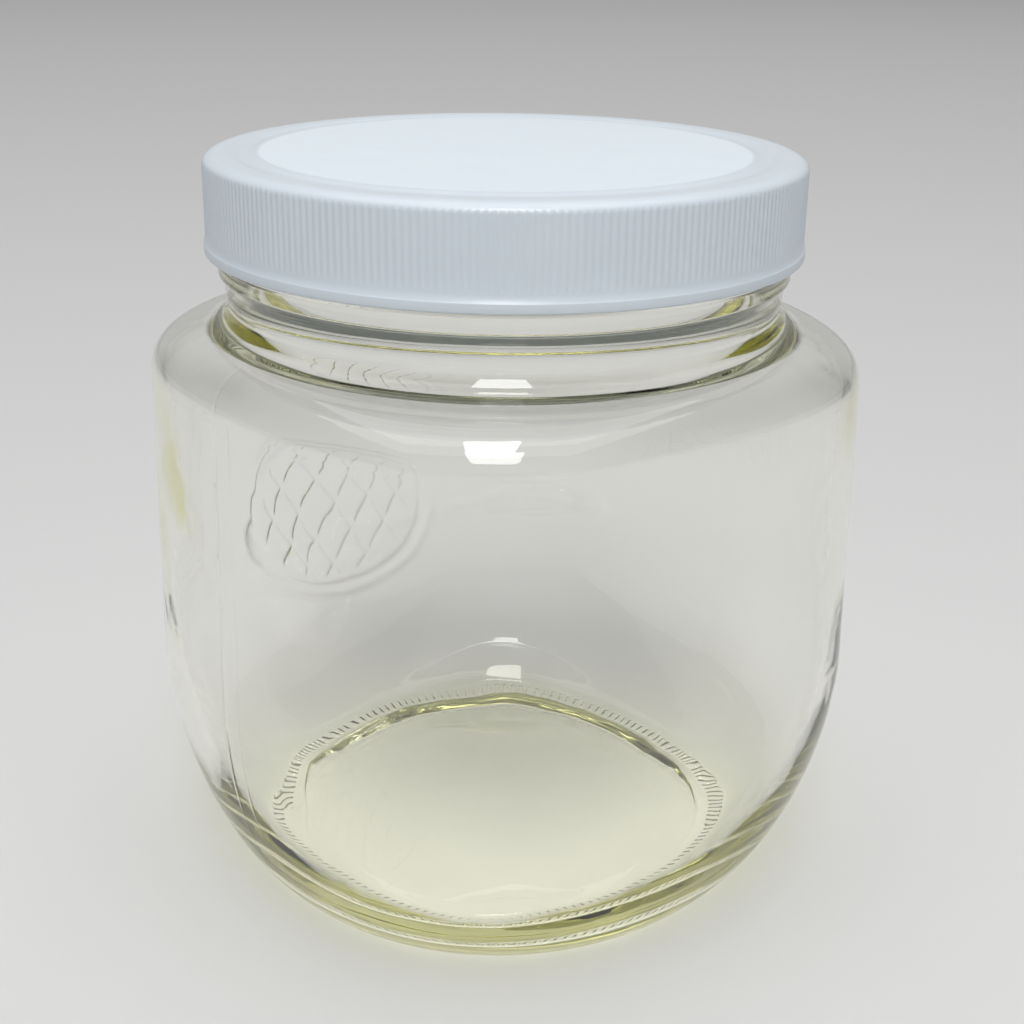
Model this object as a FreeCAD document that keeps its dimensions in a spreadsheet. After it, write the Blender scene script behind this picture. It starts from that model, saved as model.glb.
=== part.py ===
import FreeCAD, Part
import math
import os
import Sketcher
from FreeCAD import Vector

# Wide-mouth glass canister with a ribbed screw cap.  Units are millimetres.
# Origin: centre of the foot, on the surface the jar stands on.  +Z is up.
# The four soft panels of the jar face along +X, -X, +Y and -Y.
# Two separate pieces: the moulded glass jar and the cap screwed onto its neck.

DIMENSIONS = {
    # jar, outside
    "overall_height": 145.0,
    "foot_radius": 47.5,
    "heel_height": 46.0,
    "heel_fullness": 1.75,
    "lower_radius": 70.2,
    "upper_radius": 69.2,
    "panel_softness": 0.065,
    "shoulder_bottom": 102.7,
    "shoulder_top": 113.3,
    "shoulder_fullness_across": 2.0,
    "shoulder_fullness_up": 2.5,
    # jar, inside
    "wall": 3.5,
    "floor_top": 7.5,
    "floor_radius": 49.0,
    "floor_softness": 0.05,
    "bore_radius": 49.6,
    # hollow under the foot
    "punt_radius": 44.0,
    "punt_height": 2.2,
    # neck finish
    "neck_radius": 53.0,
    "neck_fillet": 4.5,
    "neck_fillet_waist": 1.3,
    "bead_radius": 54.5,
    "bead_bottom": 122.6,
    "bead_top": 126.7,
    "bead_round": 1.0,
    "rim_round": 1.2,
    # screw thread, one turn and a little more
    "thread_pitch": 5.08,
    "thread_rise": 5.6,
    "thread_start": 133.6,
    "thread_foot": 2.4,
    "thread_crest": 1.0,
    "jar_thread_radius": 54.2,
    "cap_thread_radius": 53.5,
    "thread_sink": 0.4,
    "cap_thread_drop": 1.95,
    # cap
    "cap_bottom": 127.2,
    "cap_underside": 143.4,
    "cap_bore": 54.7,
    "skirt_radius": 55.7,
    "rib_root_radius": 56.2,
    "cap_radius": 56.5,
    "cap_bead_radius": 56.85,
    "cap_bead_shelf": 129.2,
    "grip_bottom": 130.8,
    "grip_top": 143.6,
    "cap_top_radius": 54.6,
    "ring_outer": 51.4,
    "ring_inner": 46.4,
    "ring_slope": 1.2,
    "ring_depth": 0.5,
    "rib_count": 260,
}

SECTION_POINTS = 32     # points round one cross-section of the jar
HEEL_STEPS = 9          # cross-sections up the heel
SHOULDER_STEPS = 9      # cross-sections up the shoulder
ROOT_OVERLAP = 1.0      # how far a joined solid reaches into the one that carries it

document = FreeCAD.newDocument("glass_canister")
sheet = document.addObject("Spreadsheet::Sheet", "sizes")
for row, (name, value) in enumerate(DIMENSIONS.items(), start=1):
    sheet.set("A%d" % row, name)
    sheet.set("B%d" % row, str(value))
    sheet.setAlias("B%d" % row, name)
document.recompute()


def size(name):
    """Value of one driving dimension in the sheet."""
    return float(getattr(sheet, name))


# ------------------------------------------------------------ shared helpers

def origin_plane(body, role):
    """One of a body's own origin planes, found by its role."""
    return next(plane for plane in body.Origin.OriginFeatures if plane.Role == role)


def bound_profile(body, name, corners):
    """Closed sketch in the body's XZ plane; each corner is a pair of sheet expressions."""
    sketch = body.newObject("Sketcher::SketchObject", name)
    sketch.AttachmentSupport = (origin_plane(body, "XZ_Plane"), [""])
    sketch.MapMode = "FlatFace"
    values = [tuple(evaluate(term) for term in corner) for corner in corners]
    count = len(corners)
    for index, (across, up) in enumerate(values):
        next_across, next_up = values[(index + 1) % count]
        line = Part.LineSegment(Vector(across, up, 0), Vector(next_across, next_up, 0))
        sketch.addGeometry(line, False)
    for index in range(count):
        sketch.addConstraint(Sketcher.Constraint("Coincident", index, 2, (index + 1) % count, 1))
    for index, (across, up) in enumerate(values):
        for kind, value, term in (
            ("DistanceX", across, corners[index][0]),
            ("DistanceY", up, corners[index][1]),
        ):
            number = sketch.addConstraint(Sketcher.Constraint(kind, -1, 1, index, 1, value))
            sketch.setExpression("Constraints[%d]" % number, bound(term))
    return sketch


def bound(term):
    """Expression of the document for a term written with the sheet's bare names."""
    words = term.split()
    return " ".join("sizes." + word if word in DIMENSIONS else word for word in words)


def evaluate(term):
    """Number that a term written with the sheet's bare names stands for."""
    total = 0.0
    sign = 1.0
    for word in term.split():
        if word == "-":
            sign = -1.0
        elif word != "+":
            total += sign * (size(word) if word in DIMENSIONS else float(word))
            sign = 1.0
    return total


def revolution(body, name, sketch):
    """Full turn of a sketch about the jar's axis."""
    feature = body.newObject("PartDesign::Revolution", name)
    feature.Profile = sketch
    feature.ReferenceAxis = (sketch, ["V_Axis"])
    feature.Angle = 360.0
    document.recompute()
    return feature


def rounded(body, name, base, rings, radius_name):
    """Fillet on the circular edges of the base that lie at the given (radius, height) rings."""
    edges = []
    for index, edge in enumerate(base.Shape.Edges, start=1):
        curve = edge.Curve
        if not isinstance(curve, Part.Circle):
            continue
        for radius, height in rings:
            if abs(curve.Radius - radius) < 0.01 and abs(curve.Center.z - height) < 0.01:
                edges.append("Edge%d" % index)
    fillet = body.newObject("PartDesign::Fillet", name)
    fillet.Base = (base, edges)
    fillet.setExpression("Radius", "sizes." + radius_name)
    document.recompute()
    return fillet


def computed(name, shape):
    """Document object for a shape that is worked out here from the sheet's sizes."""
    feature = document.addObject("Part::Feature", name)
    feature.Shape = shape
    feature.Placement = FreeCAD.Placement()
    return feature


def boolean(kind, name, base, tool):
    """Part::Cut or Part::Fuse of two objects of the document."""
    feature = document.addObject(kind, name)
    feature.Base = base
    feature.Tool = tool
    document.recompute()
    return feature


def screw_thread(name, root_name, crest_name, start):
    """Helical ridge swept along a helix; the root is sunk into the wall that carries it."""
    helix = document.addObject("Part::Helix", name + "_path")
    helix.setExpression("Pitch", "sizes.thread_pitch")
    helix.setExpression("Height", "sizes.thread_rise")
    helix.setExpression("Radius", bound(root_name))
    helix.setExpression("Placement.Base.z", bound(start))
    half_foot = size("thread_foot") / 2
    half_crest = size("thread_crest") / 2
    root = evaluate(root_name)
    crest = size(crest_name)
    low = evaluate(start)
    corners = [
        Vector(root, 0, low - half_foot),
        Vector(crest, 0, low - half_crest),
        Vector(crest, 0, low + half_crest),
        Vector(root, 0, low + half_foot),
    ]
    section = computed(name + "_section", Part.makePolygon(corners + corners[:1]))
    sweep = document.addObject("Part::Sweep", name)
    sweep.Sections = [section]
    sweep.Spine = (helix, ["Edge1"])
    sweep.Solid = True
    sweep.Frenet = True
    document.recompute()
    return sweep


# ------------------------------------------------------------------ jar glass

def quarter_curve(fullness_across, fullness_up, steps):
    """Pairs (across, up) along a superellipse quarter that starts flat and ends upright."""
    pairs = []
    for step in range(steps + 1):
        angle = math.pi / 2 * step / steps
        across = math.sin(angle) ** (2.0 / fullness_across)
        up = 1.0 - math.cos(angle) ** (2.0 / fullness_up)
        pairs.append((across, up))
    return pairs


def soft_square(radius, height, softness):
    """Closed curve at one height: a circle drawn in on its four sides by the softness."""
    points = []
    for index in range(SECTION_POINTS):
        angle = 2 * math.pi * index / SECTION_POINTS
        reach = radius * (1 - softness * (1 + math.cos(4 * angle)) / 2)
        points.append(Vector(reach * math.cos(angle), reach * math.sin(angle), height))
    curve = Part.BSplineCurve()
    curve.interpolate(Points=points, PeriodicFlag=True)
    return Part.Wire([curve.toShape()])


def body_loft(bottom_radius, bottom, bottom_softness, neck_radius, inset):
    """Solid of the jar's body from its lowest level to the root of the neck."""
    softness = size("panel_softness")
    heel_fullness = size("heel_fullness")
    across_fullness = size("shoulder_fullness_across")
    up_fullness = size("shoulder_fullness_up")
    lower = size("lower_radius") - inset
    upper = size("upper_radius") - inset
    heel_top = size("heel_height")
    shoulder_foot = size("shoulder_bottom")
    shoulder_top = size("shoulder_top") - inset
    sections = []
    for across, up in quarter_curve(heel_fullness, heel_fullness, HEEL_STEPS):
        radius = bottom_radius + (lower - bottom_radius) * across
        softness_here = bottom_softness + (softness - bottom_softness) * across
        sections.append(soft_square(radius, bottom + (heel_top - bottom) * up, softness_here))
    for share in (1 / 3, 2 / 3):
        height = heel_top + (shoulder_foot - heel_top) * share
        sections.append(soft_square(lower + (upper - lower) * share, height, softness))
    for across, down in reversed(quarter_curve(across_fullness, up_fullness, SHOULDER_STEPS)):
        radius = neck_radius + (upper - neck_radius) * across
        height = shoulder_top - (shoulder_top - shoulder_foot) * down
        sections.append(soft_square(radius, height, softness * across))
    return Part.makeLoft(sections, True, False)


def neck_finish():
    """Neck with its bead and rim, rooted in the shoulder."""
    body = document.addObject("PartDesign::Body", "neck_finish")
    root = "shoulder_top - %s" % ROOT_OVERLAP
    sketch = bound_profile(body, "neck_outline", [
        ("0", root),
        ("neck_radius + neck_fillet", root),
        ("neck_radius + neck_fillet_waist", "shoulder_top + neck_fillet_waist"),
        ("neck_radius", "shoulder_top + neck_fillet"),
        ("neck_radius", "bead_bottom"),
        ("bead_radius", "bead_bottom"),
        ("bead_radius", "bead_top"),
        ("neck_radius", "bead_top"),
        ("neck_radius", "cap_underside"),
        ("0", "cap_underside"),
    ])
    turned = revolution(body, "neck_turned", sketch)
    bead = [(size("bead_radius"), size("bead_bottom")), (size("bead_radius"), size("bead_top"))]
    beaded = rounded(body, "bead_edges", turned, bead, "bead_round")
    rim = [(size("neck_radius"), size("cap_underside"))]
    rounded(body, "rim_edge", beaded, rim, "rim_round")
    return body


def bore():
    """Round way through the neck, down into the hollow of the body."""
    cylinder = document.addObject("Part::Cylinder", "bore")
    cylinder.setExpression("Radius", "sizes.bore_radius")
    cylinder.setExpression("Height", "sizes.cap_underside - sizes.shoulder_bottom")
    cylinder.setExpression("Placement.Base.z", "sizes.shoulder_bottom")
    document.recompute()
    return cylinder


def punt():
    """Shallow dome that hollows the underside, so the jar stands on a ring."""
    dome = document.addObject("Part::Sphere", "punt")
    dome.setExpression(
        "Radius", "(sizes.punt_radius ^ 2 + sizes.punt_height ^ 2) / (2 * sizes.punt_height)")
    dome.setExpression(
        "Placement.Base.z",
        "(sizes.punt_height ^ 2 - sizes.punt_radius ^ 2) / (2 * sizes.punt_height)")
    document.recompute()
    return dome


def make_jar():
    """One piece of moulded glass."""
    outside = computed("body_outside", body_loft(
        size("foot_radius"), 0.0, 0.0, size("neck_radius"), 0.0))
    inside = computed("body_inside", body_loft(
        size("floor_radius"), size("floor_top"), size("floor_softness"), size("bore_radius"), size("wall")))
    blank = boolean("Part::Fuse", "jar_blank", outside, neck_finish())
    thread = screw_thread("jar_thread", "neck_radius - thread_sink", "jar_thread_radius", "thread_start")
    threaded = boolean("Part::Fuse", "jar_threaded", blank, thread)
    hollowed = boolean("Part::Cut", "jar_hollowed", threaded, inside)
    bored = boolean("Part::Cut", "jar_bored", hollowed, bore())
    return boolean("Part::Cut", "jar", bored, punt())


# ------------------------------------------------------------------------ cap

def cap_shell():
    """Turned part of the cap: plate with its ring groove, skirt, bead and top bevel."""
    body = document.addObject("PartDesign::Body", "cap_shell")
    sketch = bound_profile(body, "cap_outline", [
        ("0", "cap_underside"),
        ("cap_bore", "cap_underside"),
        ("cap_bore", "cap_bottom"),
        ("cap_bead_radius", "cap_bottom"),
        ("cap_bead_radius", "cap_bead_shelf"),
        ("cap_radius", "grip_bottom"),
        ("skirt_radius", "grip_bottom"),
        ("skirt_radius", "grip_top"),
        ("cap_radius", "grip_top"),
        ("cap_top_radius", "overall_height"),
        ("ring_outer", "overall_height"),
        ("ring_outer - ring_slope", "overall_height - ring_depth"),
        ("ring_inner + ring_slope", "overall_height - ring_depth"),
        ("ring_inner", "overall_height"),
        ("0", "overall_height"),
    ])
    revolution(body, "cap_turned", sketch)
    return body


def grip_ribs():
    """Band of fine upright ribs round the skirt."""
    count = int(size("rib_count"))
    corners = []
    for index in range(2 * count):
        angle = math.pi * index / count
        reach = size("cap_radius") if index % 2 == 0 else size("rib_root_radius")
        corners.append(Vector(reach * math.cos(angle), reach * math.sin(angle), size("grip_bottom")))
    rise = Vector(0, 0, size("grip_top") - size("grip_bottom"))
    ribbed = Part.Face(Part.makePolygon(corners + corners[:1])).extrude(rise)
    hole = Part.makeCylinder(size("skirt_radius"), rise.z, Vector(0, 0, size("grip_bottom")))
    return ribbed.cut(hole)


def make_cap():
    """One piece of moulded plastic, screwed down until its plate meets the rim."""
    start = "thread_start - cap_thread_drop"
    thread = screw_thread("cap_thread", "cap_bore + thread_sink", "cap_thread_radius", start)
    ribbed = boolean("Part::Fuse", "cap_ribbed", cap_shell(), computed("grip_ribs", grip_ribs()))
    return boolean("Part::Fuse", "cap", ribbed, thread)


# --------------------------------------------------------------------- export

def check(parts):
    """Stop if any object failed or a sub-part's shape isn't one sound solid."""
    for item in document.Objects:
        if "Invalid" in item.State or "Error" in item.State:
            raise RuntimeError("%s did not compute" % item.Name)
    for part in parts:
        shape = part.Shape
        if shape.isNull() or not shape.isValid() or len(shape.Solids) != 1:
            raise RuntimeError("%s is not one sound solid" % part.Label)


def main():
    parts = [make_jar(), make_cap()]
    for part, label in zip(parts, ("jar", "lid")):
        part.Label = label
    document.recompute()
    check(parts)
    os.makedirs("parts", exist_ok=True)
    for part in parts:
        part.Shape.exportStep("parts/%s.step" % part.Label)
        print("%s: %.1f cubic centimetres" % (part.Label, part.Shape.Volume / 1000))


main()
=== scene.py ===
import math

import bpy
import numpy as np
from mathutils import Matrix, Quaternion, Vector


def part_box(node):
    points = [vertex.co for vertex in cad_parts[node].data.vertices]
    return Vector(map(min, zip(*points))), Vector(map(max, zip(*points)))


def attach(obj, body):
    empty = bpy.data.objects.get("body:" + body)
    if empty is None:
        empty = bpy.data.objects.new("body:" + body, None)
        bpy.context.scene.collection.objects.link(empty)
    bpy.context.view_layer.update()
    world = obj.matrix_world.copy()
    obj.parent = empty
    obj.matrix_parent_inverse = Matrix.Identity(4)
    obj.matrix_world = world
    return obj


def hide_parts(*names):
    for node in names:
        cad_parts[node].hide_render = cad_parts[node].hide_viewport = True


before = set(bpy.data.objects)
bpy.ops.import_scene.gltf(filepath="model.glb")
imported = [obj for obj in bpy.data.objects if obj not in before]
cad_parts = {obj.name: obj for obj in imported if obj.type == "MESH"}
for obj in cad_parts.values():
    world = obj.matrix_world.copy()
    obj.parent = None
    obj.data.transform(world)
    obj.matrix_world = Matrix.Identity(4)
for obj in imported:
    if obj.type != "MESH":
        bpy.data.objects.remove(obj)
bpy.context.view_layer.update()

# Dressed model of the glass canister: the moulded glass jar and its ribbed screw cap, in metres.
# Both pieces are closed meshes of rings round the jar's axis, worked out from the sizes below.

MM = 0.001                      # sizes are given in millimetres, the frame is in metres
jar_low, jar_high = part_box("jar")
lid_low, lid_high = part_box("lid")

# --------------------------------------------------------------- jar sizes, mm
SOFTNESS = 0.065                # how far the four sides are drawn in, as a share of the radius
SEAM_RISE = 0.045
SEAM_HALF_WIDTH = 0.45
BOX_MARGIN = 0.02               # keeps the seams inside the box of the solids
SIDE_REACH = (jar_high[1] - jar_low[1]) / 2 / MM - SEAM_RISE - BOX_MARGIN
LOWER_RADIUS = SIDE_REACH / (1 - SOFTNESS)
WALL_LEAN = 1.0                 # the wall leans in by this much up to the shoulder
UPPER_RADIUS = LOWER_RADIUS - WALL_LEAN
FOOT_RADIUS = 47.5
HEEL_HEIGHT = 46.0
HEEL_FULLNESS = 1.75            # 2 is a quarter ellipse, more is squarer
SHOULDER_BOTTOM = 102.7
SHOULDER_TOP = 113.3
SHOULDER_FULLNESS_ACROSS = 2.0
SHOULDER_FULLNESS_UP = 2.5
WALL = 3.5
UNDER_SHOULDER_STEP = 0.6       # how much wider than the bore the hollow starts
FLOOR_TOP = 7.5                 # the floor inside the jar
FLOOR_RADIUS = 49.0
FLOOR_SOFTNESS = 0.05
FLOOR_CROWN = 0.5
FLOW_FADE_START = 38            # radii over which the unevenness of the floor fades
FLOW_FADE_END = 45
SWELL_DEPTH = 0.04
WRINKLE_DEPTH = 0.12
WRINKLE_X = -8                  # middle of the wrinkled patch
WRINKLE_Y = -22
CREASE_DEPTH = 0.10
CREASE_HALF_WIDTH = 0.9
BORE_RADIUS = 49.6
PUNT_RADIUS = 44.0              # the shallow hollow under the jar
PUNT_HEIGHT = 2.2
PUNT_EDGE = 0.45                # step round it
PUNT_RIM = ((44.3, 0.3), (44.9, 0.1), (46.5, 0.08))     # radius and height of the rings beyond it
MARK_RADIUS = 4.4               # plain moulded ring at its middle
MARK_HALF_WIDTH = 1.0
MARK_RISE = 0.25
NECK_RADIUS = 53.0
NECK_FILLET = 4.5
BEAD_RADIUS = 54.5
BEAD_BOTTOM = 122.6
BEAD_TOP = 126.7
BEAD_ROUND = 1.0
RIM_TOP = jar_high[2] / MM
RIM_ROUND = 1.2
THREAD_START = 133.6
THREAD_PITCH = 5.08
THREAD_TURNS = 1.1
THREAD_FADE = 0.05              # share of a turn over which each end fades
THREAD_RISE = 1.2
THREAD_HALF_CREST = 0.4
THREAD_HALF_WIDTH = 1.2
THREAD_ZONE_BOTTOM = 131.6
THREAD_ZONE_TOP = 141.6
KNURL_COUNT = 156
KNURL_DEPTH = 0.5
KNURL_INNER = 46.9              # the ring that the jar stands on
KNURL_MIDDLE = 47.25
KNURL_OUTER = 51.2
KNURL_FADE = 0.7
KNURL_COLUMNS = 5 * KNURL_COUNT
ROUND_COLUMNS = 360             # mesh columns of the neck and underside
INNER_COLUMNS = 240
PLAIN_COLUMNS = 140             # columns of the body, all round
PANEL_COLUMNS = 190             # more of them on the decorated panel
SEAM_COLUMNS = 13               # and across each mould seam
SEAM_SPAN = math.radians(2.4)
PANEL_ANGLE = math.pi           # the decorated panel faces -X
PANEL_SPAN = math.radians(56)   # how much of the turn has its closer columns
PANEL_BOTTOM = 31.2             # its closer rings, from here
PANEL_TOP = 80.9                # up to here
PANEL_ROW = 0.52
PANEL_HEIGHT = 54.5             # middle of the decoration
PANEL_HALF_WIDTH = 27.5
PANEL_HALF_HEIGHT = 20.5
PANEL_SQUARENESS = 2.5          # 2 is an ellipse, more is squarer
PANEL_SINK = 0.45
PANEL_EDGE_START = 0.99         # shares of the panel's reach: where its sunk part ends
PANEL_EDGE_END = 1.12           # and where the wall is plain again
FRAME_PLACE = 0.93
FRAME_HALF_WIDTH = 1.6
LATTICE_FADE_START = 0.76
LATTICE_FADE_END = 0.86
LATTICE_PITCH = 7.5
LATTICE_SLANT = math.radians(35)
LATTICE_HALF_WIDTH = 1.0
LATTICE_RISE = 0.8              # as a share of the frame's

# Waves of the inner wall: depth, count round the jar, radians of shift for each mm up, and start.
WALL_WAVES = (
    (0.12, 3, 0.05, 0.6),
    (0.10, 7, -0.09, 2.1),
    (0.07, 2, 0.21, 0.0),
    (0.05, 13, 0.16, 4.0),
)
WALL_WAVES_RISE = 14            # height over the floor at which they are full

# --------------------------------------------------------------- cap sizes, mm
CAP_TOP = lid_high[2] / MM
CAP_BOTTOM = lid_low[2] / MM
CAP_UNDERSIDE = RIM_TOP
CAP_BORE = 54.7
CAP_INNER_ROUND = 0.5
CAP_RADIUS = 56.5
CAP_BEAD_RADIUS = 56.85
CAP_BEAD_SHELF = 129.2
CAP_BEAD_ROUND = 0.4
CAP_SHELF_ROUND = 0.3
GRIP_BOTTOM = 130.8
EDGE_BOTTOM = 143.1             # where the rounded top edge springs from the skirt
CAP_TOP_RADIUS = 53.4
RING_OUTER = 51.4               # the ring groove on top
RING_INNER = 46.4
RING_SLOPE = 2.2
RING_DEPTH = 0.42
RIB_COUNT = 260
RIB_DEPTH = 0.18
RIB_COLUMNS = 6                 # mesh columns to one rib
RIB_RINGS = ((0.0, 0.1), (0.5, 0.55), (1.2, 1.0), (4.5, 1.0), (8.5, 1.0), (12.0, 1.0))  # rise, share
RIB_FADE = (0.95, 0.8, 0.55, 0.25, 0.05)    # shares of the depth over the rounded top edge

# --------------------------------------------------------- glass and plastic, m
GLASS_ROUGHNESS = 0.012
GLASS_INDEX = 1.52
GLASS_TINT = (0.89, 0.875, 0.32, 1)
GLASS_TINT_DENSITY = 11.0
GLASS_SHADOW = (0.90, 0.90, 0.885, 1)
RIPPLE_SCALE = 55
RIPPLE_STRENGTH = 0.25
RIPPLE_DEPTH = 0.0004
# the rim and skirt are the same white plastic as the disc, painted a darker white: painted shade
RIM_COLOUR_WITH_PAINTED_SHADE = (0.64, 0.705, 0.76, 1)
DISC_COLOUR = (0.71, 0.78, 0.825, 1)
RIM_ROUGHNESS = 0.29
DISC_ROUGHNESS = 0.55
PLASTIC_INDEX = 1.49
DISC_BLEND = 0.5 * MM           # width over which the rim's finish turns into the disc's
NOISE_LOW = 0.3                 # a noise texture keeps mostly between these two
NOISE_HIGH = 0.7
MOTTLE_SCALE = 90
MOTTLE = 0.2                    # how far the mottling shifts between the two colours
GRAIN_SCALE = 1600
GRAIN_DEPTH = 0.00008
RIM_GRAIN = 0.2
DISC_GRAIN = 0.7

# --------------------------------------------------------------------- stage, m
CAMERA_AZIMUTH = math.radians(51.0)     # round the jar from -Y towards +X
CAMERA_DISTANCE = 0.3053                # level distance from the jar's axis
CAMERA_HEIGHT = 0.1897
CAMERA_PITCH = math.radians(21.1)
CAMERA_YAW = math.radians(0.39)
CAMERA_ROLL = math.radians(0.8)
CAMERA_LENS = 56.25
LAMP_TARGET = Vector((0, 0, 0.07))
STAGE_HALF = 4.0
STAGE_COLOUR = (0.70, 0.70, 0.69, 1)
STAGE_ROUGHNESS = 0.8
BACKDROP_COLOUR = (0.48, 0.48, 0.48, 1)
SURROUNDINGS_COLOUR = (0.24, 0.24, 0.25, 1)
CARD_START = 0.5                # share of the way to either side where the cards begin
CARD_END = 0.85                 # and where they are darkest
CARD_SHADE = 0.15


# ------------------------------------------------------------------ mesh tools

def turn(columns):
    """Even angles round one ring."""
    return np.arange(columns) * (2 * math.pi / columns)


def body_turn():
    """Angles round the body, closer together on the decorated panel and the seams."""
    spans = [
        (math.pi / 2, SEAM_SPAN, SEAM_COLUMNS),
        (PANEL_ANGLE, PANEL_SPAN, PANEL_COLUMNS),
        (3 * math.pi / 2, SEAM_SPAN, SEAM_COLUMNS),
    ]
    angle = turn(PLAIN_COLUMNS)
    for middle, span, columns in spans:
        start = middle - span / 2
        end = middle + span / 2
        outside = angle[(angle < start) | (angle > end)]
        angle = np.concatenate([outside, np.linspace(start, end, columns)])
    return np.sort(angle)


def ring(radius, height, angle):
    """One closed ring of points; radius and height are numbers or one value per angle."""
    radius = np.broadcast_to(radius, angle.shape)
    height = np.broadcast_to(height, angle.shape)
    return np.stack([radius * np.cos(angle), radius * np.sin(angle), height], axis=1)


def ring_angles(points):
    """Angles of a ring's points, from 0, with the full turn added at the end."""
    angle = np.arctan2(points[:, 1], points[:, 0]) % (2 * math.pi)
    return [0.0] + angle[1:].tolist() + [2 * math.pi]


def band_faces(first, near, far):
    """Faces between two neighbouring rings whose points are numbered from first on."""
    count = len(near)
    next_first = first + count
    next_count = len(far)
    near_angles = ring_angles(near)
    far_angles = ring_angles(far)
    if count == next_count and np.allclose(near_angles, far_angles, atol=1e-6):
        return [
            (first + i, first + (i + 1) % count, next_first + (i + 1) % count, next_first + i)
            for i in range(count)
        ]
    faces = []
    i = 0
    j = 0
    while i < count or j < next_count:
        step_near = i < count and (j == next_count or near_angles[i + 1] <= far_angles[j + 1])
        here = first + i % count
        there = next_first + j % next_count
        if step_near:
            i += 1
            faces.append((here, first + i % count, there))
        else:
            j += 1
            faces.append((here, next_first + j % next_count, there))
    return faces


def ring_mesh(name, rings):
    """Closed smooth mesh through rings that run from one point on the axis to another."""
    start = np.array([[0.0, 0.0, float(rings[0][:, 2].mean())]])
    end = np.array([[0.0, 0.0, float(rings[-1][:, 2].mean())]])
    points = np.concatenate([start] + rings + [end]) * MM
    count = len(rings[0])
    faces = [(0, 1 + (i + 1) % count, 1 + i) for i in range(count)]
    first = 1
    for near, far in zip(rings, rings[1:]):
        faces += band_faces(first, near, far)
        first += len(near)
    count = len(rings[-1])
    last = first + count
    faces += [(last, first + i, first + (i + 1) % count) for i in range(count)]
    mesh = bpy.data.meshes.new(name)
    mesh.from_pydata(points.tolist(), [], faces)
    mesh.polygons.foreach_set("use_smooth", [True] * len(faces))
    mesh.update()
    piece = bpy.data.objects.new(name, mesh)
    bpy.context.scene.collection.objects.link(piece)
    return piece


def smooth_step(value, low, high):
    """0 below low, 1 above high and a soft slope between."""
    share = np.clip((value - low) / (high - low), 0, 1)
    return share * share * (3 - 2 * share)


def arc(centre, radii, start, end, steps):
    """(radius, height) points along an elliptical arc, angles in degrees from the outward side."""
    points = []
    for angle in np.radians(np.linspace(start, end, steps)):
        points.append((centre[0] + radii[0] * math.cos(angle), centre[1] + radii[1] * math.sin(angle)))
    return points


def raised_line(distance, half_width):
    """Rounded ridge of unit height along where a distance is zero."""
    return np.exp(-((distance / half_width) ** 2) * 1.6)


# ------------------------------------------------------------------- jar shape

def draw_in(angle, softness):
    """Factor that pulls the four sides of a circle in."""
    return 1 - softness * (1 + np.cos(4 * angle)) / 2


def heel_share(height):
    """How far across the heel's curve has come at a height: 0 at the foot, 1 at the wall."""
    up = min(max(height / HEEL_HEIGHT, 0.0), 1.0)
    cosine = (1 - up) ** (HEEL_FULLNESS / 2)
    return math.sqrt(max(1 - cosine * cosine, 0)) ** (2 / HEEL_FULLNESS)


def shoulder_points(neck, upper, top, steps):
    """(radius, height, share) up the shoulder, from the wall towards the neck."""
    points = []
    for step in range(1, steps + 1):
        angle = math.pi / 2 * step / steps
        share = max(math.cos(angle), 0.0) ** (2 / SHOULDER_FULLNESS_ACROSS)
        up = math.sin(angle) ** (2 / SHOULDER_FULLNESS_UP)
        radius = neck + (upper - neck) * share
        points.append((radius, SHOULDER_BOTTOM + (top - SHOULDER_BOTTOM) * up, share))
    return points


def wall_radius(height, lower, upper):
    """Radius over the soft corners between heel and shoulder."""
    share = (height - HEEL_HEIGHT) / (SHOULDER_BOTTOM - HEEL_HEIGHT)
    return lower + (upper - lower) * min(max(share, 0.0), 1.0)


def seam(angle):
    """Fine ridge that the two halves of the mould leave down the +Y and -Y sides."""
    away = np.abs(np.cos(angle)) * LOWER_RADIUS
    return SEAM_RISE * np.exp(-((away / SEAM_HALF_WIDTH) ** 2))


def lattice(across, up):
    """Plain quilting of unit height: two sets of slanting ridges that cross in diamonds."""
    height = np.zeros_like(across)
    for side in (-1, 1):
        place = across * math.cos(LATTICE_SLANT) + side * up * math.sin(LATTICE_SLANT)
        distance = place - np.round(place / LATTICE_PITCH) * LATTICE_PITCH
        height = np.maximum(height, raised_line(distance, LATTICE_HALF_WIDTH))
    return height


def panel_relief(angle, height):
    """Moulded decoration: a rounded frame, sunk into the wall, round plain quilting."""
    across = (angle - PANEL_ANGLE) * LOWER_RADIUS
    up = height - PANEL_HEIGHT
    beside = np.abs(across / PANEL_HALF_WIDTH) ** PANEL_SQUARENESS
    above = np.abs(up / PANEL_HALF_HEIGHT) ** PANEL_SQUARENESS
    reach = (beside + above) ** (1 / PANEL_SQUARENESS)
    scale = (PANEL_HALF_WIDTH + PANEL_HALF_HEIGHT) / 2
    sunk = 1 - smooth_step(reach, PANEL_EDGE_START, PANEL_EDGE_END)
    shown = 1 - smooth_step(reach, LATTICE_FADE_START, LATTICE_FADE_END)
    quilting = LATTICE_RISE * lattice(across, up) * shown
    raised = np.maximum(raised_line((reach - FRAME_PLACE) * scale, FRAME_HALF_WIDTH), quilting)
    return PANEL_SINK * sunk * (raised - 1)


def waves(angle, height):
    """Slow unevenness of the pressed and blown glass, in mm."""
    total = np.zeros_like(angle)
    for depth, count, slant, start in WALL_WAVES:
        total = total + depth * np.sin(count * angle + slant * height + start)
    return smooth_step(height, FLOOR_TOP, FLOOR_TOP + WALL_WAVES_RISE) * total


def outer_ring(radius, height, softness):
    """Ring of the body's outside, with the seam and the panel's relief."""
    angle = body_turn()
    reach = radius * draw_in(angle, softness) + seam(angle) * softness / SOFTNESS
    return ring(reach + panel_relief(angle, height), height, angle)


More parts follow.
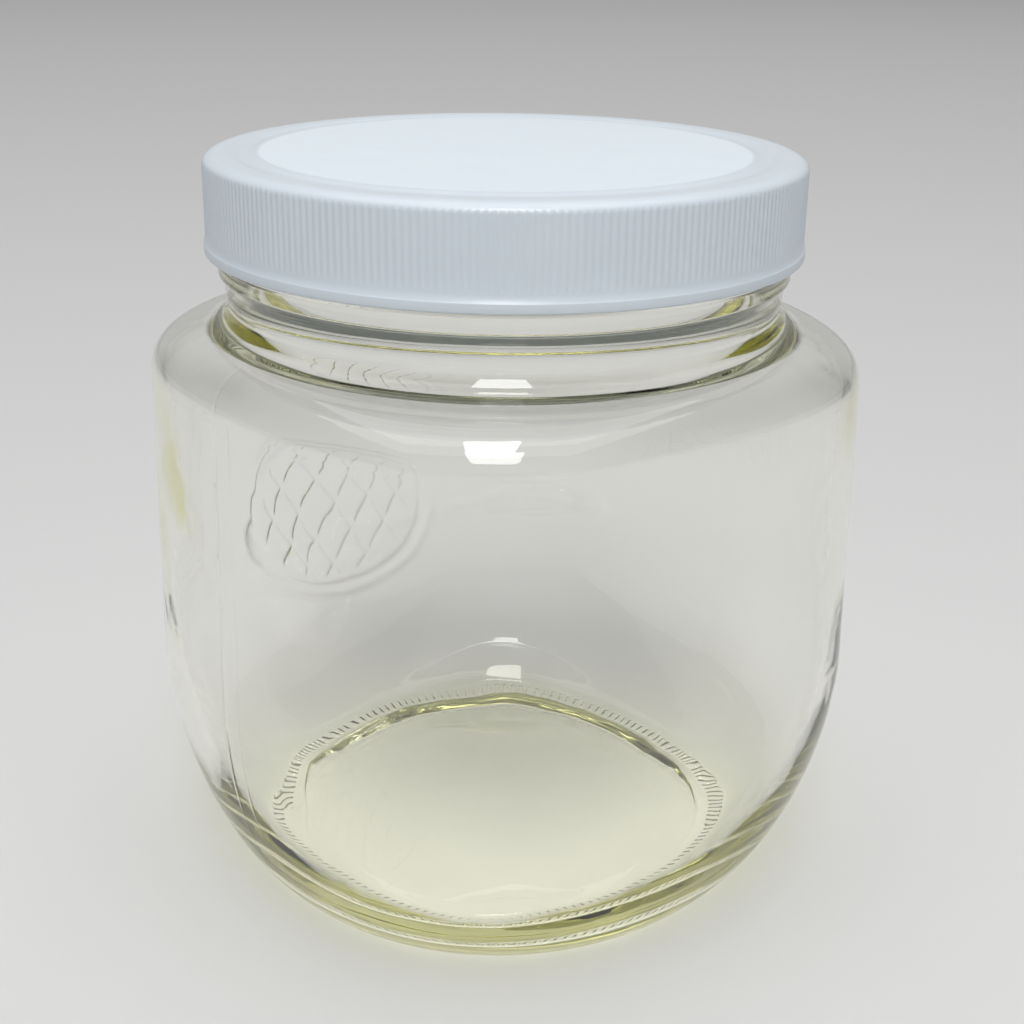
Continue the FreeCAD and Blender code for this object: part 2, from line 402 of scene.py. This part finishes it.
def inner_ring(radius, height, softness, wavy=1.0):
    """Ring of the body's inside, with its unevenness."""
    angle = turn(INNER_COLUMNS)
    return ring(radius * draw_in(angle, softness) + waves(angle, height) * wavy, height, angle)


def floor_flow(x, y):
    """Faint swell, wrinkles and one thin crease where the glass chilled on the jar's floor.

    The waves and places, all in millimetres, were chosen.
    """
    edge = 1 - smooth_step(np.hypot(x, y), FLOW_FADE_START, FLOW_FADE_END)
    swell = np.sin(0.23 * x + 0.11 * y + 1.0) + np.sin(0.17 * y - 0.08 * x)
    near = np.exp(-(((x - WRINKLE_X) / 15) ** 2 + ((y - WRINKLE_Y) / 12) ** 2))
    bent = np.hypot(x - 12, y - 6) + 1.2 * np.sin(0.24 * x) + 0.8 * np.sin(0.31 * y)
    wrinkles = near * np.sin(1.9 * bent)
    wander = y - 22 + 0.75 * (x - 20) - 2.2 * np.sin(0.42 * x)
    crease = raised_line(wander, CREASE_HALF_WIDTH) * (1 - smooth_step(np.abs(x - 21), 14, 18))
    return edge * (SWELL_DEPTH * swell + WRINKLE_DEPTH * wrinkles + CREASE_DEPTH * crease)


def knurl_depth(radius):
    """Depth between the pips of the foot at a radius: none outside their ring."""
    rise = smooth_step(radius, KNURL_INNER, KNURL_INNER + KNURL_FADE)
    fall = 1 - smooth_step(radius, KNURL_OUTER - KNURL_FADE, KNURL_OUTER)
    return KNURL_DEPTH * float(rise * fall)


def outside_radius(height):
    """Radius of the outside of heel and wall, and how far across the heel's curve has come."""
    share = heel_share(height)
    wall = wall_radius(height, LOWER_RADIUS, UPPER_RADIUS)
    return FOOT_RADIUS + (wall - FOOT_RADIUS) * share, share


def underside_rings():
    """Shallow hollow under the jar and the knurled ring it stands on."""
    even = turn(ROUND_COLUMNS)
    rings = []
    for share in np.linspace(0.05, 1.0, 10):
        mark = MARK_RISE * raised_line(PUNT_RADIUS * share - MARK_RADIUS, MARK_HALF_WIDTH)
        height = PUNT_EDGE + (PUNT_HEIGHT - PUNT_EDGE) * (1 - share ** 2)
        rings.append(ring(PUNT_RADIUS * share, height - mark, even))
    rings += [ring(radius, height, even) for radius, height in PUNT_RIM]
    pip_steps = (0.01, 0.05, 0.12, 0.22, 0.36, 0.55)
    fine = turn(KNURL_COLUMNS)
    between = (1 - np.cos(KNURL_COUNT * fine)) / 2
    for radius in (KNURL_INNER, KNURL_MIDDLE):
        rings.append(ring(radius, knurl_depth(radius) * between, fine))
    for height in pip_steps:
        radius, share = outside_radius(height)
        reach = radius * draw_in(fine, SOFTNESS * share)
        rings.append(ring(reach, height + knurl_depth(radius) * between, fine))
    return rings


def outside_rings():
    """From the foot up the heel, wall and shoulder to the root of the neck."""
    low_steps = [0.9, 1.5, 2.3, 3.3, 4.6, 6.2, 8.0, 10.2, 12.8, 15.8, 18.8, 21.8, 24.8, 27.8, 30.4]
    panel_steps = list(np.arange(PANEL_BOTTOM, PANEL_TOP, PANEL_ROW))
    high_steps = list(np.linspace(82.0, SHOULDER_BOTTOM, 6))
    rings = []
    for height in low_steps + panel_steps + high_steps:
        radius, share = outside_radius(height)
        rings.append(outer_ring(radius, height, SOFTNESS * share))
    for radius, height, share in shoulder_points(NECK_RADIUS, UPPER_RADIUS, SHOULDER_TOP, 22):
        if radius > NECK_RADIUS + NECK_FILLET:
            rings.append(outer_ring(radius, height, SOFTNESS * share))
    return rings


def thread_rise(angle, height):
    """Helical ridge of the screw thread on the neck."""
    rise = np.zeros_like(angle)
    for lap in range(-1, 3):
        along = angle / (2 * math.pi) + lap
        start = smooth_step(along, 0.0, THREAD_FADE)
        end = 1 - smooth_step(along, THREAD_TURNS - THREAD_FADE, THREAD_TURNS)
        away = np.abs(height - (THREAD_START + THREAD_PITCH * along))
        ridge = 1 - smooth_step(away, THREAD_HALF_CREST, THREAD_HALF_WIDTH)
        rise = np.maximum(rise, start * end * ridge)
    return THREAD_RISE * rise


def neck_rings():
    """Fillet, neck, bead, screw thread and rim."""
    angle = turn(ROUND_COLUMNS)
    fillet = (NECK_FILLET, NECK_FILLET)
    bead = (BEAD_ROUND, BEAD_ROUND)
    rim = (RIM_ROUND, RIM_ROUND)
    outline = arc((NECK_RADIUS + NECK_FILLET, SHOULDER_TOP + NECK_FILLET), fillet, 252, 180, 7)
    outline += arc((BEAD_RADIUS - BEAD_ROUND, BEAD_BOTTOM + BEAD_ROUND), bead, -80, 0, 6)
    outline += arc((BEAD_RADIUS - BEAD_ROUND, BEAD_TOP - BEAD_ROUND), bead, 0, 90, 6)
    outline += [(NECK_RADIUS + 0.1, BEAD_TOP + 0.1), (NECK_RADIUS, BEAD_TOP + 0.6)]
    rings = [ring(radius, height, angle) for radius, height in outline]
    for height in np.arange(THREAD_ZONE_BOTTOM, THREAD_ZONE_TOP, 0.9):
        rings.append(ring(NECK_RADIUS + thread_rise(angle, height), height, angle))
    lip = arc((NECK_RADIUS - RIM_ROUND, RIM_TOP - RIM_ROUND), rim, 0, 90, 5)
    lip += arc((BORE_RADIUS + RIM_ROUND, RIM_TOP - RIM_ROUND), rim, 90, 180, 5)
    return rings + [ring(radius, height, angle) for radius, height in lip]


def inside_rings():
    """Down the bore, under the shoulder, down the wall and across the floor."""
    bore_steps = (138.0, 130.0, 123.0, 117.0, 113.0)
    rings = [ring(BORE_RADIUS, height, turn(INNER_COLUMNS)) for height in bore_steps]
    lower = LOWER_RADIUS - WALL
    upper = UPPER_RADIUS - WALL
    top = SHOULDER_TOP - WALL
    under_shoulder = shoulder_points(BORE_RADIUS + UNDER_SHOULDER_STEP, upper, top, 16)
    for radius, height, share in reversed(under_shoulder):
        rings.append(inner_ring(radius, height, SOFTNESS * share, share))
    for height in np.linspace(SHOULDER_BOTTOM, HEEL_HEIGHT, 14):
        rings.append(inner_ring(wall_radius(height, lower, upper), height, SOFTNESS))
    for step in range(1, 25):
        angle = math.pi / 2 * (1 - step / 24)
        share = max(math.sin(angle), 0.0) ** (2 / HEEL_FULLNESS)
        up = 1 - math.cos(angle) ** (2 / HEEL_FULLNESS)
        radius = FLOOR_RADIUS + (lower - FLOOR_RADIUS) * share
        height = FLOOR_TOP + (HEEL_HEIGHT - FLOOR_TOP) * up
        softness = FLOOR_SOFTNESS + (SOFTNESS - FLOOR_SOFTNESS) * share
        rings.append(inner_ring(radius, height, softness))
    for share in np.linspace(0.97, 0.03, 32):
        points = inner_ring(FLOOR_RADIUS * share, FLOOR_TOP, FLOOR_SOFTNESS * share)
        points[:, 2] += FLOOR_CROWN * (1 - share ** 2) + floor_flow(points[:, 0], points[:, 1])
        rings.append(points)
    return rings


def build_jar():
    """The whole moulded glass as one closed mesh."""
    outside = underside_rings() + outside_rings() + neck_rings()
    return ring_mesh("jar_glass", outside + inside_rings())


# ------------------------------------------------------------------- cap shape

def build_cap():
    """The moulded cap: plate, skirt, bottom bead, fine ribs, rounded top edge and ring groove."""
    few = turn(RIB_COUNT)
    many = turn(RIB_COUNT * RIB_COLUMNS)
    ribs = RIB_DEPTH * (1 - np.cos(RIB_COUNT * many)) / 2
    plate_radii = (3.0, 20.0, 40.0, 52.0, CAP_BORE - CAP_INNER_ROUND)
    bore_steps = (CAP_UNDERSIDE - CAP_INNER_ROUND, 135.0, CAP_BOTTOM + CAP_INNER_ROUND)
    disc_radii = (44.0, 34.0, 20.0, 6.0)
    outline = [(radius, CAP_UNDERSIDE) for radius in plate_radii]
    outline += [(CAP_BORE, height) for height in bore_steps]
    outline += [(CAP_BORE + 0.3, CAP_BOTTOM + 0.05), (CAP_BEAD_RADIUS - 0.6, CAP_BOTTOM + 0.02)]
    bead_centre = (CAP_BEAD_RADIUS - CAP_BEAD_ROUND, CAP_BOTTOM + CAP_BEAD_ROUND)
    outline += arc(bead_centre, (CAP_BEAD_ROUND, CAP_BEAD_ROUND), -90, 0, 4)
    shelf_centre = (CAP_BEAD_RADIUS - CAP_SHELF_ROUND, CAP_BEAD_SHELF - CAP_SHELF_ROUND)
    outline += arc(shelf_centre, (CAP_SHELF_ROUND, CAP_SHELF_ROUND), 0, 75, 4)
    outline += [(CAP_RADIUS + 0.02, GRIP_BOTTOM - 0.25)]
    rings = [ring(radius, height, few) for radius, height in outline]
    for rise, share in RIB_RINGS:
        rings.append(ring(CAP_RADIUS - ribs * share, GRIP_BOTTOM + rise, many))
    edge = (CAP_RADIUS - CAP_TOP_RADIUS, CAP_TOP - EDGE_BOTTOM)
    centre = (CAP_TOP_RADIUS, EDGE_BOTTOM)
    for (radius, height), share in zip(arc(centre, edge, 0, 30, len(RIB_FADE)), RIB_FADE):
        rings.append(ring(radius - ribs * share, height, many))
    rounding = arc(centre, edge, 38, 90, 9)
    rounding += [(RING_OUTER + 0.4, CAP_TOP)]
    rings += [ring(radius, height, few) for radius, height in rounding]
    for radius in np.linspace(RING_OUTER, RING_INNER, 15):
        outer_slope = smooth_step(RING_OUTER - radius, 0, RING_SLOPE)
        inner_slope = smooth_step(radius - RING_INNER, 0, RING_SLOPE)
        rings.append(ring(radius, CAP_TOP - RING_DEPTH * outer_slope * inner_slope, few))
    rings += [ring(radius, CAP_TOP, few) for radius in disc_radii]
    return ring_mesh("lid_cap", rings)


# ------------------------------------------------------------------- materials

def new_material(name):
    """Material with an empty node tree and its output."""
    material = bpy.data.materials.new(name)
    material.use_nodes = True
    tree = material.node_tree
    tree.nodes.clear()
    return material, tree, tree.nodes.new("ShaderNodeOutputMaterial")


def noise(tree, scale, detail, coordinates):
    """Output of a noise texture in object space."""
    node = tree.nodes.new("ShaderNodeTexNoise")
    node.inputs["Scale"].default_value = scale
    node.inputs["Detail"].default_value = detail
    tree.links.new(coordinates.outputs["Object"], node.inputs["Vector"])
    return node.outputs["Fac"]


def map_range(tree, source, low, high, start, end):
    """Output of a node that maps a value from low..high to start..end."""
    node = tree.nodes.new("ShaderNodeMapRange")
    node.inputs["From Min"].default_value = low
    node.inputs["From Max"].default_value = high
    node.inputs["To Min"].default_value = start
    node.inputs["To Max"].default_value = end
    tree.links.new(source, node.inputs["Value"])
    return node.outputs["Result"]


def math_node(tree, operation, *sources):
    """Output of a node that works out one operation on one or two values."""
    node = tree.nodes.new("ShaderNodeMath")
    node.operation = operation
    for place, source in enumerate(sources):
        tree.links.new(source, node.inputs[place])
    return node.outputs["Value"]


def bump_node(tree, height, distance):
    """Bump from a height that varies between 0 and 1, of the given depth in metres."""
    node = tree.nodes.new("ShaderNodeBump")
    node.inputs["Distance"].default_value = distance
    tree.links.new(height, node.inputs["Height"])
    return node


def glass_material():
    """Clear soda-lime glass, faintly yellow-green where it is thick."""
    material, tree, output = new_material("clear_glass")
    links = tree.links
    coordinates = tree.nodes.new("ShaderNodeTexCoord")
    glass = tree.nodes.new("ShaderNodeBsdfPrincipled")
    glass.inputs["Base Color"].default_value = (1, 1, 1, 1)
    glass.inputs["Transmission Weight"].default_value = 1.0
    glass.inputs["Roughness"].default_value = GLASS_ROUGHNESS
    glass.inputs["IOR"].default_value = GLASS_INDEX
    ripple = bump_node(tree, noise(tree, RIPPLE_SCALE, 2, coordinates), RIPPLE_DEPTH)
    ripple.inputs["Strength"].default_value = RIPPLE_STRENGTH
    links.new(ripple.outputs["Normal"], glass.inputs["Normal"])
    clear = tree.nodes.new("ShaderNodeBsdfTransparent")
    clear.inputs["Color"].default_value = GLASS_SHADOW
    path = tree.nodes.new("ShaderNodeLightPath")
    mix = tree.nodes.new("ShaderNodeMixShader")
    links.new(path.outputs["Is Shadow Ray"], mix.inputs["Fac"])
    links.new(glass.outputs["BSDF"], mix.inputs[1])
    links.new(clear.outputs["BSDF"], mix.inputs[2])
    links.new(mix.outputs["Shader"], output.inputs["Surface"])
    tint = tree.nodes.new("ShaderNodeVolumeAbsorption")
    tint.inputs["Color"].default_value = GLASS_TINT
    tint.inputs["Density"].default_value = GLASS_TINT_DENSITY
    links.new(tint.outputs["Volume"], output.inputs["Volume"])
    return material


def plastic_material():
    """Cool white moulded plastic: a matt disc on top, satin rim and skirt painted a darker white as
    shade, faint mottling.
    """
    material, tree, output = new_material("white_plastic")
    links = tree.links
    coordinates = tree.nodes.new("ShaderNodeTexCoord")
    plastic = tree.nodes.new("ShaderNodeBsdfPrincipled")
    split = tree.nodes.new("ShaderNodeSeparateXYZ")
    links.new(coordinates.outputs["Object"], split.inputs["Vector"])
    level = tree.nodes.new("ShaderNodeCombineXYZ")
    links.new(split.outputs["X"], level.inputs["X"])
    links.new(split.outputs["Y"], level.inputs["Y"])
    reach = tree.nodes.new("ShaderNodeVectorMath")
    reach.operation = "LENGTH"
    links.new(level.outputs["Vector"], reach.inputs[0])
    edge = RING_INNER * MM
    disc = map_range(tree, reach.outputs["Value"], edge, edge - DISC_BLEND, 0, 1)
    mottling = noise(tree, MOTTLE_SCALE, 4, coordinates)
    mottle = map_range(tree, mottling, NOISE_LOW, NOISE_HIGH, -MOTTLE, MOTTLE)
    # from the rim's darker white, which is painted shade, to the disc's white, shifted by the mottling
    ramp = tree.nodes.new("ShaderNodeValToRGB")
    ramp.color_ramp.elements[0].color = RIM_COLOUR_WITH_PAINTED_SHADE
    ramp.color_ramp.elements[1].color = DISC_COLOUR
    links.new(math_node(tree, "ADD", disc, mottle), ramp.inputs["Fac"])
    links.new(ramp.outputs["Color"], plastic.inputs["Base Color"])
    links.new(map_range(tree, disc, 0, 1, RIM_ROUGHNESS, DISC_ROUGHNESS), plastic.inputs["Roughness"])
    plastic.inputs["IOR"].default_value = PLASTIC_INDEX
    grain = bump_node(tree, noise(tree, GRAIN_SCALE, 2, coordinates), GRAIN_DEPTH)
    links.new(map_range(tree, disc, 0, 1, RIM_GRAIN, DISC_GRAIN), grain.inputs["Strength"])
    links.new(grain.outputs["Normal"], plastic.inputs["Normal"])
    links.new(plastic.outputs["BSDF"], output.inputs["Surface"])
    return material


def floor_material():
    """Plain pale floor."""
    material, tree, output = new_material("pale_floor")
    surface = tree.nodes.new("ShaderNodeBsdfPrincipled")
    surface.inputs["Base Color"].default_value = STAGE_COLOUR
    surface.inputs["Roughness"].default_value = STAGE_ROUGHNESS
    tree.links.new(surface.outputs["BSDF"], output.inputs["Surface"])
    return material


# ----------------------------------------------------------------------- stage

def make_camera():
    """Camera a little above the cap, facing one soft corner of the jar."""
    data = bpy.data.cameras.new("camera")
    data.lens = CAMERA_LENS
    data.clip_start = 0.01
    camera = bpy.data.objects.new("camera", data)
    camera.location = (
        math.sin(CAMERA_AZIMUTH) * CAMERA_DISTANCE,
        -math.cos(CAMERA_AZIMUTH) * CAMERA_DISTANCE,
        CAMERA_HEIGHT,
    )
    heading = CAMERA_AZIMUTH - CAMERA_YAW
    forward = Vector((
        -math.sin(heading) * math.cos(CAMERA_PITCH),
        math.cos(heading) * math.cos(CAMERA_PITCH),
        -math.sin(CAMERA_PITCH),
    ))
    camera.rotation_mode = "QUATERNION"
    camera.rotation_quaternion = forward.to_track_quat("-Z", "Y") @ Quaternion((0, 0, 1), CAMERA_ROLL)
    bpy.context.scene.collection.objects.link(camera)
    bpy.context.scene.camera = camera


def area_lamp(name, azimuth, elevation, distance, size, power):
    """Soft white rectangular lamp aimed at the jar, its azimuth counted as the camera's."""
    data = bpy.data.lights.new(name, "AREA")
    data.shape = "RECTANGLE"
    data.size, data.size_y = size
    data.energy = power
    lamp = bpy.data.objects.new(name, data)
    level = math.cos(elevation)
    back = Vector((math.sin(azimuth) * level, -math.cos(azimuth) * level, math.sin(elevation)))
    lamp.location = LAMP_TARGET + back * distance
    lamp.rotation_mode = "QUATERNION"
    lamp.rotation_quaternion = (-back).to_track_quat("-Z", "Y")
    bpy.context.scene.collection.objects.link(lamp)


def make_world():
    """Studio surroundings: dim grey light, and a pale backdrop with a dark card to either side.

    The backdrop is what the camera sees, and what shows through and in the glass and the gloss.
    The cards aren't seen by the camera itself, and draw the edges of the glass.
    """
    world = bpy.data.worlds.new("studio")
    bpy.context.scene.world = world
    world.use_nodes = True
    tree = world.node_tree
    tree.nodes.clear()
    links = tree.links
    output = tree.nodes.new("ShaderNodeOutputWorld")
    coordinates = tree.nodes.new("ShaderNodeTexCoord")
    turned = tree.nodes.new("ShaderNodeVectorRotate")
    turned.rotation_type = "Z_AXIS"
    turned.inputs["Angle"].default_value = -CAMERA_AZIMUTH
    links.new(coordinates.outputs["Generated"], turned.inputs["Vector"])
    split = tree.nodes.new("ShaderNodeSeparateXYZ")
    links.new(turned.outputs["Vector"], split.inputs["Vector"])
    path = tree.nodes.new("ShaderNodeLightPath")
    by_camera = path.outputs["Is Camera Ray"]
    aside = math_node(tree, "ABSOLUTE", split.outputs["X"])
    cards = map_range(tree, aside, CARD_START, CARD_END, 1.0, CARD_SHADE)
    backdrop = tree.nodes.new("ShaderNodeBackground")
    backdrop.inputs["Color"].default_value = BACKDROP_COLOUR
    links.new(math_node(tree, "MAXIMUM", cards, by_camera), backdrop.inputs["Strength"])
    light = tree.nodes.new("ShaderNodeBackground")
    light.inputs["Color"].default_value = SURROUNDINGS_COLOUR
    through = math_node(tree, "MAXIMUM", by_camera, path.outputs["Is Transmission Ray"])
    shown = math_node(tree, "MAXIMUM", through, path.outputs["Is Glossy Ray"])
    mix = tree.nodes.new("ShaderNodeMixShader")
    links.new(shown, mix.inputs["Fac"])
    links.new(light.outputs["Background"], mix.inputs[1])
    links.new(backdrop.outputs["Background"], mix.inputs[2])
    links.new(mix.outputs["Shader"], output.inputs["Surface"])


def make_floor():
    """Wide plain floor for the jar to stand on."""
    mesh = bpy.data.meshes.new("floor")
    corners = [(x * STAGE_HALF, y * STAGE_HALF, 0) for x, y in ((-1, -1), (1, -1), (1, 1), (-1, 1))]
    mesh.from_pydata(corners, [], [(0, 1, 2, 3)])
    floor = bpy.data.objects.new("floor", mesh)
    mesh.materials.append(floor_material())
    bpy.context.scene.collection.objects.link(floor)


# ------------------------------------------------------------------------ main

jar = build_jar()
jar.data.materials.append(glass_material())
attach(jar, "root")
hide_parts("jar")

cap = build_cap()
cap.data.materials.append(plastic_material())
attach(cap, "root")
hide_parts("lid")

make_floor()
make_world()
make_camera()
area_lamp(
    "window",
    azimuth=CAMERA_AZIMUTH,
    elevation=math.radians(57),
    distance=1.3,
    size=(0.36, 0.85),
    power=9.0,
)
area_lamp(
    "overhead",
    azimuth=math.radians(230),
    elevation=math.radians(86),
    distance=4.6,
    size=(5.2, 5.2),
    power=116,
)
bpy.context.scene.view_settings.view_transform = "Standard"

# Light has to get through both walls and the base of the jar, twice over where it is mirrored.
cycles = bpy.context.scene.cycles
cycles.max_bounces = 32
cycles.glossy_bounces = 24
cycles.transmission_bounces = 24
cycles.transparent_max_bounces = 16
